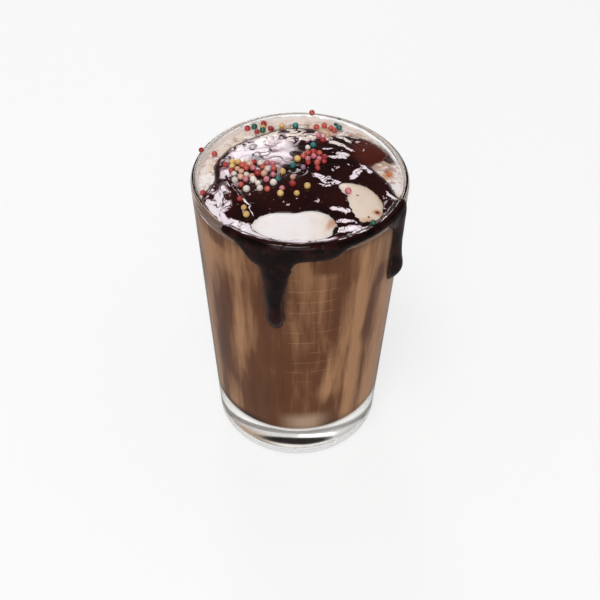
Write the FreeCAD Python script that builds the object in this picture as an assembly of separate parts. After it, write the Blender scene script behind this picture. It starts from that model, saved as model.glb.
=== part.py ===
import FreeCAD, Part
import math
import os

# A chocolate lassi in its tumbler: a heavy-footed glass filled to the brim with the shake, a layer of
# whipped cream over it, and one sheet of chocolate sauce that pools on the cream, leaves a few cream
# islands bare, runs over the rim at the front and hangs down the outside in two drips.
#
# Millimetres. +Z is up and the origin is the centre of the foot, on the table.
# A bearing is an angle in degrees round the glass: 0 is the front (-Y) and 90 the right side (+X).
# A drop is a distance down from the top of the rim. A share is a share of the mouth's inner radius.

# ---- Glass ----
GLASS_HEIGHT = 118.0
RIM_RADIUS = 38.0       # outside, at the top
FOOT_RADIUS = 32.0      # outside, where the wall's line meets the table
RIM_WALL = 2.2          # wall thickness at the lip, which is fully rounded
FLOOR_WALL = 3.0        # wall thickness at the level of the inside floor
FLOOR_HEIGHT = 13.0     # thickness of the solid foot
FLOOR_CORNER = 5.0      # inside corner between floor and wall
HEEL_RADIUS = 2.5       # outside corner at the table
PUNT_RADIUS = 24.0      # hollow under the foot
PUNT_DEPTH = 1.2

# ---- Filling ----
SHAKE_DROP = 5.0        # the shake's level
CREAM_DROP = 2.7        # the cream's edge at the wall
CREAM_CROWN = 3.6       # rise of the cream's dome from its edge to the middle
ISLAND_RISE = 0.9       # how far the bare cream stands above the sauce
ISLAND_FLANK = 1.0      # run of an island's flank, small for a steep one

# Bare cream islands: share of the mouth for x, y, half length and half width, then turn in degrees.
ISLANDS = (
    (-0.155, -0.782, 0.28, 0.188, -5.0),
    (0.110, -0.772, 0.235, 0.200, 6.0),
    (0.490, -0.240, 0.12, 0.080, -20.0),
    (0.631, -0.440, 0.275, 0.155, -70.0),
)

# ---- Sauce on the cream ----
SAUCE_DEPTH = 1.3       # thickness of the pool
SAUCE_EDGE = 1.4        # run over which the pool thins out at its edge
MENISCUS_RISE = 0.8     # how far the sauce climbs where it meets the lip
MENISCUS_RUN = 5.5      # width of that climb

# The pool's outline: bearing and share of the mouth. Above 1 it reaches the wall.
POOL_OUTLINE = (
    (-86, 0.84), (-101, 0.87), (-113, 0.865), (-125, 0.85), (-137, 0.82), (-151, 0.80), (-164, 0.815),
    (-176, 0.83), (172, 0.82), (162, 0.76), (152, 0.76), (147, 0.83), (141, 0.90), (134, 0.96),
    (124, 0.99), (115, 0.99), (110, 0.88), (105, 0.73), (97, 0.76), (87, 0.87), (78, 0.95),
    (68, 1.10), (40, 1.15), (0, 1.15), (-40, 1.15), (-62, 1.10), (-76, 0.95),
)

# ---- Sauce over the rim ----
LIP_COAT = 0.9          # thickness over the lip
WALL_COAT = 1.0         # thickness of the curtain on the outside
CURTAIN_EDGE = 1.3      # run over which the curtain thins out at its lower edge
COVER_FADE = 1.5        # degrees over which the coat ends round the rim
COVER = (-43.0, 71.0)   # bearings between which the sauce runs over the rim

# Lower edge of the curtain: bearing and drop.
CURTAIN_OUTLINE = (
    (-48, 1.2), (-42, 1.8), (-36, 2.7), (-31, 4.6), (-25, 9.5), (-15, 11.0), (-5, 9.4), (0, 6.7),
    (10, 6.6), (19, 6.2), (24, 3.4), (32, 2.5), (43, 2.0), (50, 2.2), (56, 6.0), (64, 9.0), (71, 6.0),
    (77, 1.5),
)

# Drips: the stem's stations from the top down, each a drop, a bearing, a half width and a thickness,
# then the rounded drop at the end with its half height.
FRONT_DRIP = {
    "stem": (
        (7.0, -12.0, 6.8, 1.4),
        (14.0, -12.2, 5.0, 1.9),
        (26.0, -12.9, 3.7, 1.9),
        (34.0, -12.2, 3.5, 2.0),
    ),
    "drop": (33.7, -12.4, 3.7, 2.6),
    "drop_half_height": 7.0,
}
SIDE_DRIP = {
    "stem": (
        (3.0, 64.5, 5.4, 1.6),
        (9.0, 64.8, 4.7, 1.8),
        (16.0, 64.8, 4.4, 2.0),
        (24.0, 65.2, 4.5, 2.8),
    ),
    "drop": (26.8, 65.4, 4.8, 3.6),
    "drop_half_height": 7.2,
}
DRIPS = (FRONT_DRIP, SIDE_DRIP)

# ---- How finely the poured surfaces are drawn ----
FIELD_STEP = 1.5        # grid of the cream's and the pool's top
BEARING_STEP = 1.6      # degrees between sections of the run over the rim
WALL_STEP = 1.7         # spacing of its rows down the wall
SINK = 0.7              # how far an unused stretch of a skin lies inside the glass or the cream
BLEND = 0.35            # softness where curtain and drip flow together

# ---- Worked out from the sizes above ----
SHAKE_LEVEL = GLASS_HEIGHT - SHAKE_DROP
CREAM_LEVEL = GLASS_HEIGHT - CREAM_DROP
MOUTH_RADIUS = RIM_RADIUS - RIM_WALL
LIP_RADIUS = RIM_WALL / 2
LIP_CENTRE = (RIM_RADIUS - LIP_RADIUS, GLASS_HEIGHT - LIP_RADIUS)
Z_AXIS = FreeCAD.Vector(0, 0, 1)


# ---- Helpers: curves and surfaces ----

def at_bearing(bearing, radius, z):
    """Point at a bearing, a distance from the axis and a height."""
    turn = math.radians(bearing)
    return FreeCAD.Vector(radius * math.sin(turn), -radius * math.cos(turn), z)


def in_profile(radius, z):
    """Point of a half section, drawn in the XZ plane."""
    return FreeCAD.Vector(radius, 0, z)


def blend_value(start, end, share):
    return start + (end - start) * share


def soft_step(value):
    """Runs smoothly from 0 to 1 as the value goes from below -2 to above 2."""
    return 0.5 * (1 + math.tanh(value))


def soft_max(first, second, softness):
    """The larger of two values, rounded where they are nearly equal."""
    gap = max(softness - abs(first - second), 0.0) / softness
    return max(first, second) + gap * gap * softness / 4


def catmull_rom(stations, place):
    """Smooth value at a place between stations, which are (place, value, ...) in rising order."""
    places = [station[0] for station in stations]
    values = [station[1:] for station in stations]
    place = min(max(place, places[0]), places[-1])
    left = max(i for i in range(len(places) - 1) if places[i] <= place)
    share = (place - places[left]) / (places[left + 1] - places[left])
    result = []
    for column in range(len(values[0])):
        line = [values[min(max(left + k, 0), len(values) - 1)][column] for k in (-1, 0, 1, 2)]
        slope_in = (line[2] - line[0]) / 2
        slope_out = (line[3] - line[1]) / 2
        rise = line[2] - line[1]
        result.append(
            line[1]
            + slope_in * share
            + (3 * rise - 2 * slope_in - slope_out) * share ** 2
            + (slope_in + slope_out - 2 * rise) * share ** 3
        )
    return result


def clamped_knots(count, degree):
    """Knots and multiplicities of an evenly spaced spline that reaches its end points."""
    spans = count - degree
    return [float(i) for i in range(spans + 1)], [degree + 1] + [1] * (spans - 1) + [degree + 1]


def spline_sheet(rows, row_degree, column_degree):
    """Smooth sheet drawn by a grid of control points."""
    row_knots, row_mults = clamped_knots(len(rows), row_degree)
    column_knots, column_mults = clamped_knots(len(rows[0]), column_degree)
    sheet = Part.BSplineSurface()
    sheet.buildFromPolesMultsKnots(
        rows, row_mults, column_mults, row_knots, column_knots, False, False, row_degree, column_degree
    )
    return sheet


def corner_arc(before, corner, after, radius):
    """Arc of a radius that rounds the corner between two straight runs."""
    to_before = (before - corner).normalize()
    to_after = (after - corner).normalize()
    half = to_before.getAngle(to_after) / 2
    reach = radius / math.tan(half)
    middle = (to_before + to_after).normalize()
    return Part.Arc(
        corner + to_before * reach,
        corner + middle * (radius / math.sin(half) - radius),
        corner + to_after * reach,
    )


def turned_round(arc):
    """The same arc, run from its end to its start."""
    middle = arc.value((arc.FirstParameter + arc.LastParameter) / 2)
    return Part.Arc(arc.EndPoint, middle, arc.StartPoint)


def chain(pieces):
    """Edges of a profile in order, with straight runs between the arcs and points given."""
    edges = []
    last = None
    for piece in pieces:
        is_arc = isinstance(piece, (Part.Arc, Part.ArcOfCircle))
        start = piece.StartPoint if is_arc else piece
        if last is not None and last.distanceToPoint(start) > 1e-6:
            edges.append(Part.LineSegment(last, start).toShape())
        if is_arc:
            edges.append(piece.toShape())
        last = piece.EndPoint if is_arc else piece
    return edges


def revolved(pieces):
    """Solid turned about the axis from a closed half section."""
    face = Part.Face(Part.Wire(chain(pieces)))
    return face.revolve(FreeCAD.Vector(0, 0, 0), Z_AXIS, 360)


# ---- Glass and shake ----

def outer_radius(z):
    return blend_value(FOOT_RADIUS, RIM_RADIUS, z / GLASS_HEIGHT)


def inner_radius(z):
    low = outer_radius(FLOOR_HEIGHT) - FLOOR_WALL
    return blend_value(low, MOUTH_RADIUS, (z - FLOOR_HEIGHT) / (GLASS_HEIGHT - FLOOR_HEIGHT))


def bowl_corner():
    """Rounded corner inside the glass, from the floor to the wall."""
    floor_middle = in_profile(0, FLOOR_HEIGHT)
    corner = in_profile(inner_radius(FLOOR_HEIGHT), FLOOR_HEIGHT)
    wall = in_profile(inner_radius(GLASS_HEIGHT), GLASS_HEIGHT)
    return corner_arc(floor_middle, corner, wall, FLOOR_CORNER)


def make_glass():
    foot_corner = in_profile(FOOT_RADIUS, 0)
    punt_edge = in_profile(PUNT_RADIUS, 0)
    punt_middle = in_profile(0, PUNT_DEPTH)
    rim_z = LIP_CENTRE[1]
    heel = corner_arc(punt_edge, foot_corner, in_profile(outer_radius(rim_z), rim_z), HEEL_RADIUS)
    lip = Part.Arc(
        in_profile(outer_radius(rim_z), rim_z),
        in_profile(LIP_CENTRE[0], GLASS_HEIGHT),
        in_profile(inner_radius(rim_z), rim_z),
    )
    punt = Part.Arc(punt_middle, in_profile(PUNT_RADIUS / 2, PUNT_DEPTH * 0.75), punt_edge)
    floor_middle = in_profile(0, FLOOR_HEIGHT)
    return revolved([floor_middle, punt, heel, lip, turned_round(bowl_corner()), floor_middle])


def make_shake():
    return revolved([
        in_profile(0, SHAKE_LEVEL),
        in_profile(0, FLOOR_HEIGHT),
        bowl_corner(),
        in_profile(inner_radius(SHAKE_LEVEL), SHAKE_LEVEL),
        in_profile(0, SHAKE_LEVEL),
    ])


# ---- Cream and the pool of sauce ----

def dome_height(radius):
    """Height of the smooth cream under everything, which falls from the crown to the wall."""
    return CREAM_LEVEL + CREAM_CROWN * (1 - (radius / MOUTH_RADIUS) ** 2)


def island_depth(x, y):
    """Distance inside the nearest island's outline, negative outside every island."""
    best = -MOUTH_RADIUS
    for centre_x, centre_y, half_length, half_width, turn in ISLANDS:
        angle = math.radians(turn)
        across = x / MOUTH_RADIUS - centre_x
        along = y / MOUTH_RADIUS - centre_y
        u = across * math.cos(angle) + along * math.sin(angle)
        v = along * math.cos(angle) - across * math.sin(angle)
        reach = math.hypot(u / half_length, v / half_width)
        best = soft_max(best, (1 - reach) * half_width * MOUTH_RADIUS, 1.0)
    return best


def cream_height(x, y):
    full = SAUCE_DEPTH + ISLAND_RISE
    level_share = 0.5 * math.log(SAUCE_DEPTH / ISLAND_RISE)
    return dome_height(math.hypot(x, y)) + full * soft_step(island_depth(x, y) / ISLAND_FLANK + level_share)


def pool_reach(x, y):
    """Distance inside the pool's outline, negative outside it."""
    bearing = math.degrees(math.atan2(x, -y))
    stations = sorted(POOL_OUTLINE)
    first, last = stations[0], stations[-1]
    wrapped = [(last[0] - 360, last[1])] + stations + [(first[0] + 360, first[1])]
    return catmull_rom(wrapped, bearing)[0] * MOUTH_RADIUS - math.hypot(x, y)


def sauce_height(x, y):
    depth = SAUCE_DEPTH * math.tanh(pool_reach(x, y) / SAUCE_EDGE)
    return dome_height(math.hypot(x, y)) + depth


def under_field(height):
    """Block whose top follows a height over the whole mouth and whose foot is the shake's level."""
    reach = RIM_RADIUS + FIELD_STEP
    count = 2 * int(math.ceil(reach / FIELD_STEP)) + 1
    places = [blend_value(-reach, reach, i / (count - 1)) for i in range(count)]
    rows = [[FreeCAD.Vector(x, y, height(x, y)) for y in places] for x in places]
    top = spline_sheet(rows, 3, 3).toShape()
    block = top.extrude(Z_AXIS * -(CREAM_CROWN + SAUCE_DEPTH + SHAKE_DROP))
    return block


def bowl_space(clearance):
    """The inside of the glass above the shake, grown sideways by a clearance."""
    top = GLASS_HEIGHT + CREAM_CROWN + SAUCE_DEPTH
    radii = [inner_radius(SHAKE_LEVEL) + clearance, inner_radius(top) + clearance]
    return Part.makeCone(radii[0], radii[1], top - SHAKE_LEVEL, FreeCAD.Vector(0, 0, SHAKE_LEVEL))


def make_cream():
    return bowl_space(0).common(under_field(cream_height))


# ---- Sauce over the rim ----

def cover(bearing):
    """1 where the sauce runs over the rim, 0 where the rim is bare."""
    return soft_step((bearing - COVER[0]) / COVER_FADE) * soft_step((COVER[1] - bearing) / COVER_FADE)


def drip_thickness(drip, bearing, drop):
    """Thickness of a drip, negative beyond its outline."""
    stem = drip["stem"]
    centre, half_width, thickness = catmull_rom(stem, drop)
    aside = math.radians(bearing - centre) * RIM_RADIUS / half_width
    below = max(drop - stem[-1][0], 0.0) / half_width
    stem_part = thickness * (1 - aside ** 2 - below ** 2)
    drop_at, centre, half_width, thickness = drip["drop"]
    aside = math.radians(bearing - centre) * RIM_RADIUS / half_width
    below = (drop - drop_at) / drip["drop_half_height"]
    drop_part = thickness * (1 - aside ** 2 - below ** 2)
    return soft_max(stem_part, drop_part, BLEND)


def wall_thickness(bearing, drop):
    """Thickness of the sauce on the outside of the glass, sunk into the wall where there is none."""
    edge = catmull_rom(CURTAIN_OUTLINE, bearing)[0]
    curtain = WALL_COAT * math.tanh((edge - drop) / CURTAIN_EDGE)
    thickness = blend_value(-SINK, curtain, cover(bearing))
    for drip in DRIPS:
        thickness = soft_max(thickness, drip_thickness(drip, bearing, drop), BLEND)
    return max(thickness, -SINK)


def run_section(bearing):
    """Control points of one section: the skin from the pool over the lip and down, then the way back."""
    covered = cover(bearing)
    skin = []
    for i in range(5):
        share = i / 4
        radius = MOUTH_RADIUS - LIP_RADIUS - MENISCUS_RUN * (1 - share)
        rise = blend_value(-SINK, SAUCE_DEPTH + MENISCUS_RISE * share, min(covered, share * 2))
        skin.append((radius, dome_height(radius) + rise))
    coat = LIP_RADIUS + blend_value(-SINK, LIP_COAT, covered)
    for angle in range(150, -1, -25):
        turn = math.radians(angle)
        skin.append((LIP_CENTRE[0] + coat * math.cos(turn), LIP_CENTRE[1] + coat * math.sin(turn)))
    lowest = max(drip["drop"][0] + drip["drop_half_height"] for drip in DRIPS) + 2 * WALL_STEP
    first = LIP_RADIUS + WALL_STEP
    count = int(math.ceil((lowest - first) / WALL_STEP)) + 1
    for i in range(count):
        drop = blend_value(first, lowest, i / (count - 1))
        z = GLASS_HEIGHT - drop
        skin.append((outer_radius(z) + wall_thickness(bearing, drop), z))
    lowest_z = GLASS_HEIGHT - lowest
    hidden_z = (SHAKE_LEVEL + CREAM_LEVEL) / 2
    back = [
        skin[-1],
        (outer_radius(lowest_z) - 1.5 * LIP_RADIUS, lowest_z),
        (outer_radius(hidden_z) - 1.5 * LIP_RADIUS, hidden_z),
        (skin[0][0], hidden_z),
        skin[0],
    ]
    return [at_bearing(bearing, *point) for point in skin], [at_bearing(bearing, *point) for point in back]


def make_run():
    """The sauce over the rim as a closed block whose hidden side lies inside the glass and the cream."""
    start = COVER[0] - 5 * COVER_FADE
    end = COVER[1] + 5 * COVER_FADE
    count = int(math.ceil((end - start) / BEARING_STEP)) + 1
    sections = [run_section(blend_value(start, end, i / (count - 1))) for i in range(count)]
    skin = spline_sheet([section[0] for section in sections], 3, 3)
    back = spline_sheet([section[1] for section in sections], 3, 1)
    faces = [skin.toShape(), back.toShape()]
    for u in (0.0, float(count - 3)):
        rims = [skin.uIso(u).toShape(), back.uIso(u).toShape()]
        faces.append(Part.Face(Part.Wire(rims)))
    shell = Part.Shell(faces)
    shell.sewShape()
    return Part.Solid(shell)


def make_sauce(glass, cream):
    pool = bowl_space(LIP_RADIUS / 2).common(under_field(sauce_height))
    run = make_run()
    return pool.fuse(run).cut(cream).cut(glass).removeSplitter()


def main():
    os.makedirs("parts", exist_ok=True)
    glass = make_glass()
    cream = make_cream()
    nodes = {
        "glass": glass,
        "shake": make_shake(),
        "cream": cream,
        "sauce": make_sauce(glass, cream),
    }
    for name, shape in nodes.items():
        print(name, "solids", len(shape.Solids), "volume", round(shape.Volume, 1), "valid", shape.isValid())
        shape.exportStep("parts/" + name + ".step")


main()
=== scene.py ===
import bpy
import bmesh
import math
import random
from mathutils import Matrix, Vector, noise
from mathutils.bvhtree import BVHTree


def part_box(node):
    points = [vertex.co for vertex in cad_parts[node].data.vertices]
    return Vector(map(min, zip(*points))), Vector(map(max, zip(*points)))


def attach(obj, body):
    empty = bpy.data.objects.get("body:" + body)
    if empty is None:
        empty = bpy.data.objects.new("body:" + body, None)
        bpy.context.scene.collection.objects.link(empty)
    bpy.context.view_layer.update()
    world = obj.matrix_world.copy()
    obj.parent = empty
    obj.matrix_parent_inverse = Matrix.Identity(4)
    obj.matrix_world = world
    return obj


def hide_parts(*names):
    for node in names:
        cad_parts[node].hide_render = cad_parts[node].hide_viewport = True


# The dressed part: a tumbler of chocolate lassi with cream, sauce and sugar pearls.
# Metres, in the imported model's frame: +Z up, the front is -Y, the foot's centre is the origin.
# A bearing is an angle in degrees round the glass: 0 is the front (-Y) and 90 the right (+X).
# A spot is an ellipse seen from above: the x and y of its middle, its half length and half
# width, all in millimetres, and its turn in degrees.

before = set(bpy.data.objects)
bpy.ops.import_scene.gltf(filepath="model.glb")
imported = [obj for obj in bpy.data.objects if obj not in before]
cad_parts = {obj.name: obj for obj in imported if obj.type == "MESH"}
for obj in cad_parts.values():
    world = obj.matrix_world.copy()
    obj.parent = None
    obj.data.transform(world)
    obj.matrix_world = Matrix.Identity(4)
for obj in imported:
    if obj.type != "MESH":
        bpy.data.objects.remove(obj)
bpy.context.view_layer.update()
MM = 0.001
NOISE_SEED = 7
noise.seed_set(NOISE_SEED)   # without it noise_vector starts from the clock


def linear(red, green, blue):
    """Linear colour from an sRGB one given in 0 to 255."""

    def channel(value):
        value /= 255
        return value / 12.92 if value <= 0.04045 else ((value + 0.055) / 1.055) ** 2.4

    return (channel(red), channel(green), channel(blue), 1)


# ---- Sizes read from the frame ----
GLASS_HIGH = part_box("glass")[1]
SHAKE_LOW, SHAKE_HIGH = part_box("shake")
HEIGHT = GLASS_HIGH[2]
RIM_RADIUS = GLASS_HIGH[0]
FLOOR = SHAKE_LOW[2]
SHAKE_LEVEL = SHAKE_HIGH[2]

# ---- Glass ----
WALL_TOP = 2.2 * MM          # the wall's thickness at the lip
WALL_FOOT = 3.0 * MM         # and at the floor
LIP_RADIUS = WALL_TOP / 2
LIP_Z = HEIGHT - LIP_RADIUS
HANGING_FROM = RIM_RADIUS - 0.2 * LIP_RADIUS    # sauce further out hangs on the glass
HEEL_RADIUS = 2.5 * MM
PUNT_RADIUS = 24 * MM
PUNT_DEPTH = 1.2 * MM
FLOOR_CORNER = 5 * MM
GLASS_IOR = 1.45
GLASS_TINT = (0.995, 0.998, 0.996, 1)
TURNS = 192                  # segments of a turned surface
ARC_STEPS = 12               # steps along a rounded corner
WALL_STEPS = 30              # steps along a straight wall
ON_AXIS = 1e-9               # a smaller radius counts as on the axis

# ---- Cream ----
INTO_WALL = 0.06 * MM        # how far what fills the glass reaches into it
CREAM_VOXEL = 0.45 * MM
CREAM_FLUFF = 0.2 * MM       # height of the cream's soft lumps
CREAM_TOP = 0.3              # upward part of a normal from which a point is on the top
CREAM_EDGE = HEIGHT - 2.7 * MM
FILM_THICKNESS = 0.3 * MM    # cream left on the glass above the cream's edge
FILM_STEPS = 6
FILM_OVERLAP = 0.5 * MM      # how far the film starts below the cream's edge
FILM_RAG = 0.35              # how much its edge varies, as a share of its reach
FILM_LUMPS = 0.4             # how much its thickness varies
FILM_THINNING = 0.75         # how much of its thickness is gone at its edge
FILM_REACH = (               # bearing, and how far up the film clings there, in millimetres
    (-180, 2.0), (-120, 2.0), (-95, 1.6), (-80, 1.0), (-60, 0.8), (-43, 0.15), (72, 0.15),
    (80, 0.6), (100, 0.6), (125, 0.8), (150, 1.5), (180, 2.0),
)

# ---- Sauce ----
SAUCE_VOXEL = 0.34 * MM
OVERLAP = 0.07 * MM          # how far the sauce sinks into what it lies on
SAUCE_TOP = 0.35             # upward part of a normal from which a point is on the top
RIPPLE = 0.13 * MM           # height of its swells
SIDE_RIPPLE = 0.05 * MM      # and where it hangs
WARP = 3                     # how far noise moves the swells and creases, in millimetres
CREASE_DEPTH = 1.1           # depth of its creases, in ripples
CREASE_SHARPNESS = 6
CALM_SPOT = (1, -11.5, 19, 9, 0)
CALM_SHARE = 0.85            # how much of the ripple is gone in the calm spot
CALM_END, CALM_FADE = 1.25, 0.5        # where the calm ends, and over how much, in reaches
FOLD = ((-25, -2), (-22, -10), (-17.5, -17), (-15, -23))
FOLD_HEIGHT = 0.35 * MM
FOLD_WIDTH = 0.6 * MM

# ---- Sugar pearls: colours from 0 to 255 as seen, then places in millimetres ----
PEARL_RADIUS = 1.2 * MM
PEARL_GAP = 2.05             # millimetres between the middles of scattered pearls, at least
PEARL_SIZES = (0.8, 1.04)    # shares of the radius
PEARL_LIFTS = (0.45, 0.75)   # how high the middle lies, in radii
PEARL_SQUASHES = (0.9, 1.0)
TRIES = 60                   # for each scattered pearl
CROWDING = 0.6               # power of the draw for the distance from the middle
PEARL_COLOURS = {
    "red": (176, 44, 44),
    "coral": (206, 88, 72),
    "orange": (224, 126, 66),
    "yellow": (232, 190, 112),
    "peach": (232, 178, 152),
    "white": (236, 222, 212),
    "pink": (214, 124, 134),
    "lilac": (170, 128, 158),
    "teal": (38, 118, 116),
    "green": (38, 98, 74),
}
PICKED_PEARLS = (
    ("yellow", -6, -1.6), ("yellow", -1, 5.5), ("yellow", 2.5, -9.1), ("yellow", -1, -12.9),
    ("yellow", -6.5, -12.8), ("yellow", -21.5, 4.7), ("yellow", -18.5, -18.9),
    ("yellow", -17.5, -22.2), ("yellow", -7, 30.1), ("peach", -2.5, -4.7), ("teal", -7.5, -5.5),
    ("teal", 4.5, 14.2), ("teal", -2.5, 1.9), ("teal", 14, 30), ("teal", -2, 28.8),
    ("green", 13, 33), ("green", 24.5, -25.7), ("lilac", 1, 0.9), ("pink", -6, -10.4),
    ("pink", 16.5, -10.7), ("red", -2.5, -8.1), ("red", 6, 0.5), ("red", -16, 4.2),
    ("red", -14.5, -2.1), ("red", -20, -14.6), ("red", -33, -8.5), ("red", -16, 26.6),
    ("red", -11, 28), ("red", -26, 4), ("coral", -11, -10.7), ("coral", -20, -7.5),
    ("coral", -20, 2.5), ("coral", -30.5, 12.9), ("white", -13.5, -10), ("white", -18, -10.1),
    ("white", -9, -7.4), ("white", 2.5, 12.5), ("orange", 31, 3), ("red", -35, 12.5),
    ("coral", 4, 36.5), ("pink", 6.5, 20.5), ("red", 8, 18), ("peach", 9.5, 21.5),
)
# Scattered pearls: how many, middle, half sizes, turn in degrees, and colours to draw from
PEARL_CLUSTERS = (
    (11, (5, 6.3), (4.2, 3.8), 0, ("red", "red", "coral", "red", "pink")),
    (24, (-16, -1), (8.5, 7), -15,
     ("coral", "pink", "white", "peach", "red", "white", "pink", "white", "red")),
    (7, (-21, 2.5), (4, 4), 0, ("coral", "peach", "yellow", "white", "coral")),
    (7, (-10, 29.3), (10, 2.6), 0, ("red", "yellow", "orange", "white", "green")),
    (4, (10, 30), (6, 3), -20, ("teal", "orange", "coral")),
)

# ---- Bubbles: x, y and radius in millimetres, then the scattered ones ----
PICKED_BUBBLES = (
    (2, -14, 0.4), (6, -14, 0.35), (9, -13, 0.4), (3, -18.5, 0.3), (-12, -14.5, 0.35),
    (12, -9, 0.3),
)
BUBBLE_COUNT = 40            # tries; only those that fall on sauce count
BUBBLE_SPREAD = 30
BUBBLE_SIZES = (0.12, 0.3)
BUBBLE_SINK = 0.35           # how deep a bubble sits, in radii
BUBBLE_SQUASH = 0.8

# ---- Painted reflections of the light on the pool, and its brown area, as spots ----
SMOOTH_REFLECTION_AREAS = ((-13, 11, 13, 11, 0), (-27, 3, 4, 7, 20))
VEINED_REFLECTION_AREAS = ((-3, 22, 12, 6, 0), (-28.5, -13, 8.5, 5.5, 105), (-17, 19, 11, 5, 30))
REFLECTED_STROKES = (
    (7, -3.4, 3.4, 1.3, -28), (10.6, -5.6, 3.8, 1.4, -14), (8.4, -7.6, 2.6, 0.6, -12),
    (19.5, 0, 4.2, 1.5, 60), (13.2, 17, 3.8, 1.3, -28), (17.2, 14.2, 2.6, 0.8, -30),
    (18.5, 23.4, 3, 1.1, -15), (15, 10.4, 2.6, 1.2, -15), (13.5, -19, 3.6, 1.3, -5),
    (15, -24, 3.4, 1.1, 5), (16.5, -27.4, 4.6, 1.6, 14), (20, -28.8, 3.4, 1.8, 34),
    (15, -34, 2.2, 0.9, 15), (-20, -26.5, 7, 2.4, -28), (24, -14, 2.6, 0.8, -50),
    (28.5, -23, 0.9, 2.6, 0), (8, 22, 4, 2.2, -40), (23, 3, 3, 0.9, -50),
    (17.2, 25.8, 3.2, 1.0, -6), (13.2, 22.4, 2.6, 0.9, -48), (16.6, 19.8, 2.4, 0.8, -52),
    (12.6, 8.6, 3.8, 1.1, 0), (11.6, 17.6, 2.2, 0.8, 25), (9.5, 13, 2.2, 0.7, 10),
    (34, -3, 1.5, 5, -5), (31.5, -10, 3, 0.7, -45), (32.6, -12.4, 2.4, 0.6, -50),
)
FOLD_LIGHT = ((-24, -6, 0.45, 5, 22), (-19, -15, 0.45, 5, 38), (-16, -20.5, 0.4, 3, 15))
DARK_SPOTS = ((-16.5, 15, 1.6, 2.2, 0), (0, 9.5, 3, 2, 0))
BROWN_AREA = (25, 14, 9, 11, 0)
LIP_LIGHT = (33.6, 36.3, -82, 22)      # from radius, to radius, from bearing, to bearing
POOL_RADIUS = 36.6                     # the painted reflection fades here, over 0.3 mm

# ---- Stains on the cream, as spots ----
CREAM_STAINS = (
    (10.8, -26.6, 4.0, 1.6, 60), (26, -19.4, 2.2, 1.8, 0), (31, 3, 2, 2.6, 0), (22, -24, 3, 2, 0),
)
CREAM_SPECKS = (
    (26, -19.4, 0.8, 0.7, 0), (31, 3, 0.5, 0.9, 0), (19.5, -12.5, 0.5, 0.3, 0),
    (23, -22, 0.4, 0.4, 0),
)
SAUCE_OVERRUN = (14.3, -28.6, 5.5, 2.8, 60)
BROWN_OVERRUN = (30.2, 15.2, 6.5, 2.8, -63)

# ---- Painted light, tan and shade on the drink's underside, seen through the foot, as spots ----
FOOT_SHADE_SPOT = (0, -2.4, 9.5, 4.2, 0)
FOOT_TAN_SPOT = (-17, -3, 11, 11, 0)

# ---- Streaks in the drink: bearing low and high, half width, from height, to height, strength ----
STREAKS = (
    (-62, -46, 6.5, 38, 88, -0.6), (-48, -33, 8, 13, 95, 0.5), (-55, -52, 9, 11, 42, 0.55),
    (-72, -64, 7, 12, 110, 1.1), (-46, -46, 26, 97, 112, 0.6), (26, 44, 10, 35, 112, 0.95),
    (38, 41, 6.5, 12, 62, 1.0), (55, 57, 7, 10, 62, 1.1), (48, 47, 3.5, 60, 92, -0.6),
    (68, 68, 12, 15, 112, 1.3), (15, 15, 7, 104, 111, -0.8), (54, 54, 4, 88, 97, -0.9),
    (0, 0, 30, 26, 38, -0.15), (-52, -52, 12, 107, 113, -0.8),
)
RING_PITCH = 5.5 * MM        # between the pale rings on the drink's front

# ---- Colours ----
DRINK_MIDDLE = linear(125, 78, 49)
DRINK_LIGHT = linear(206, 155, 112)
DRINK_DARK = linear(98, 56, 30)
DRINK_PALE_TOP = linear(250, 242, 234)
DRINK_GLEAM = linear(214, 184, 156)
# Painted shade along the drink's foot
DRINK_FOOT_SHADE = linear(48, 28, 18)
# The drink's underside painted with the light, tan and shade seen through the foot
UNDERSIDE_PAINTED_LIGHT = linear(254, 252, 248)
UNDERSIDE_PAINTED_TAN = linear(204, 166, 132)
UNDERSIDE_PAINTED_SHADE = linear(30, 20, 15)
CREAM_PALE = linear(253, 245, 243)
CREAM_WARM = linear(238, 222, 210)
CREAM_BEIGE = linear(230, 204, 178)
CREAM_BROWN = linear(158, 108, 80)
CREAM_VEIN = linear(110, 62, 44)
CREAM_STAIN = linear(206, 140, 94)
CREAM_SPECK = linear(120, 56, 30)
CREAM_SOAKED = linear(150, 112, 84)
FILM_THIN = linear(246, 232, 222)
FILM_THICK = linear(253, 246, 241)
FILM_EDGE = linear(222, 200, 182)
FILM_SMEARED = linear(92, 56, 38)
SAUCE_DARK = linear(26, 9, 10)
SAUCE_LIGHT = linear(48, 17, 15)
SAUCE_BROWN = linear(88, 34, 24)
SAUCE_ON_CREAM = linear(60, 22, 17)
DRIP_DARK = linear(16, 8, 8)
DRIP_LIGHT = linear(48, 22, 20)
# Painted reflection of the light on the pool: brown at its edge, then grey, then pale, creamier at
# the back
REFLECTION_EDGE_BROWN = linear(104, 58, 54)
REFLECTION_GREY = linear(196, 174, 184)
REFLECTION_PALE = linear(250, 238, 244)
REFLECTION_CREAM = linear(248, 234, 218)
MILKY_SCATTER = (1.0, 0.8, 0.6)        # how far red, green and blue travel inside cream
SUGAR_SCATTER = (1.0, 0.7, 0.5)

# ---- View and light ----
VIEW_ELEVATION = math.radians(45)
VIEW_DISTANCE = 410.4 * MM
VIEW_AIM = Vector((0.65, 0, 56.7)) * MM
VIEW_ROLL = math.radians(0.91)
LENS = 63.55
SENSOR = 36.0
WHITE = (1, 1, 1, 1)
WORLD_LIGHT = 0.6
SKY_LOW, SKY_HIGH = 0.15, 0.5          # rise at which the mirrored sky starts and ends to dim
SKY_BRIGHT, SKY_DIM = 0.3, 0.06
FLOOR_SIZE = 6.0                       # half a side, in metres
FLOOR_LIT = (0.9, 0.9, 0.9, 1)         # what lights the object
FLOOR_SEEN = (0.4, 0.4, 0.4, 1)        # what the camera sees, with the glow
FLOOR_GLOW = 0.62
FLOOR_MIRRORED = (0.36, 0.35, 0.34, 1)
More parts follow.
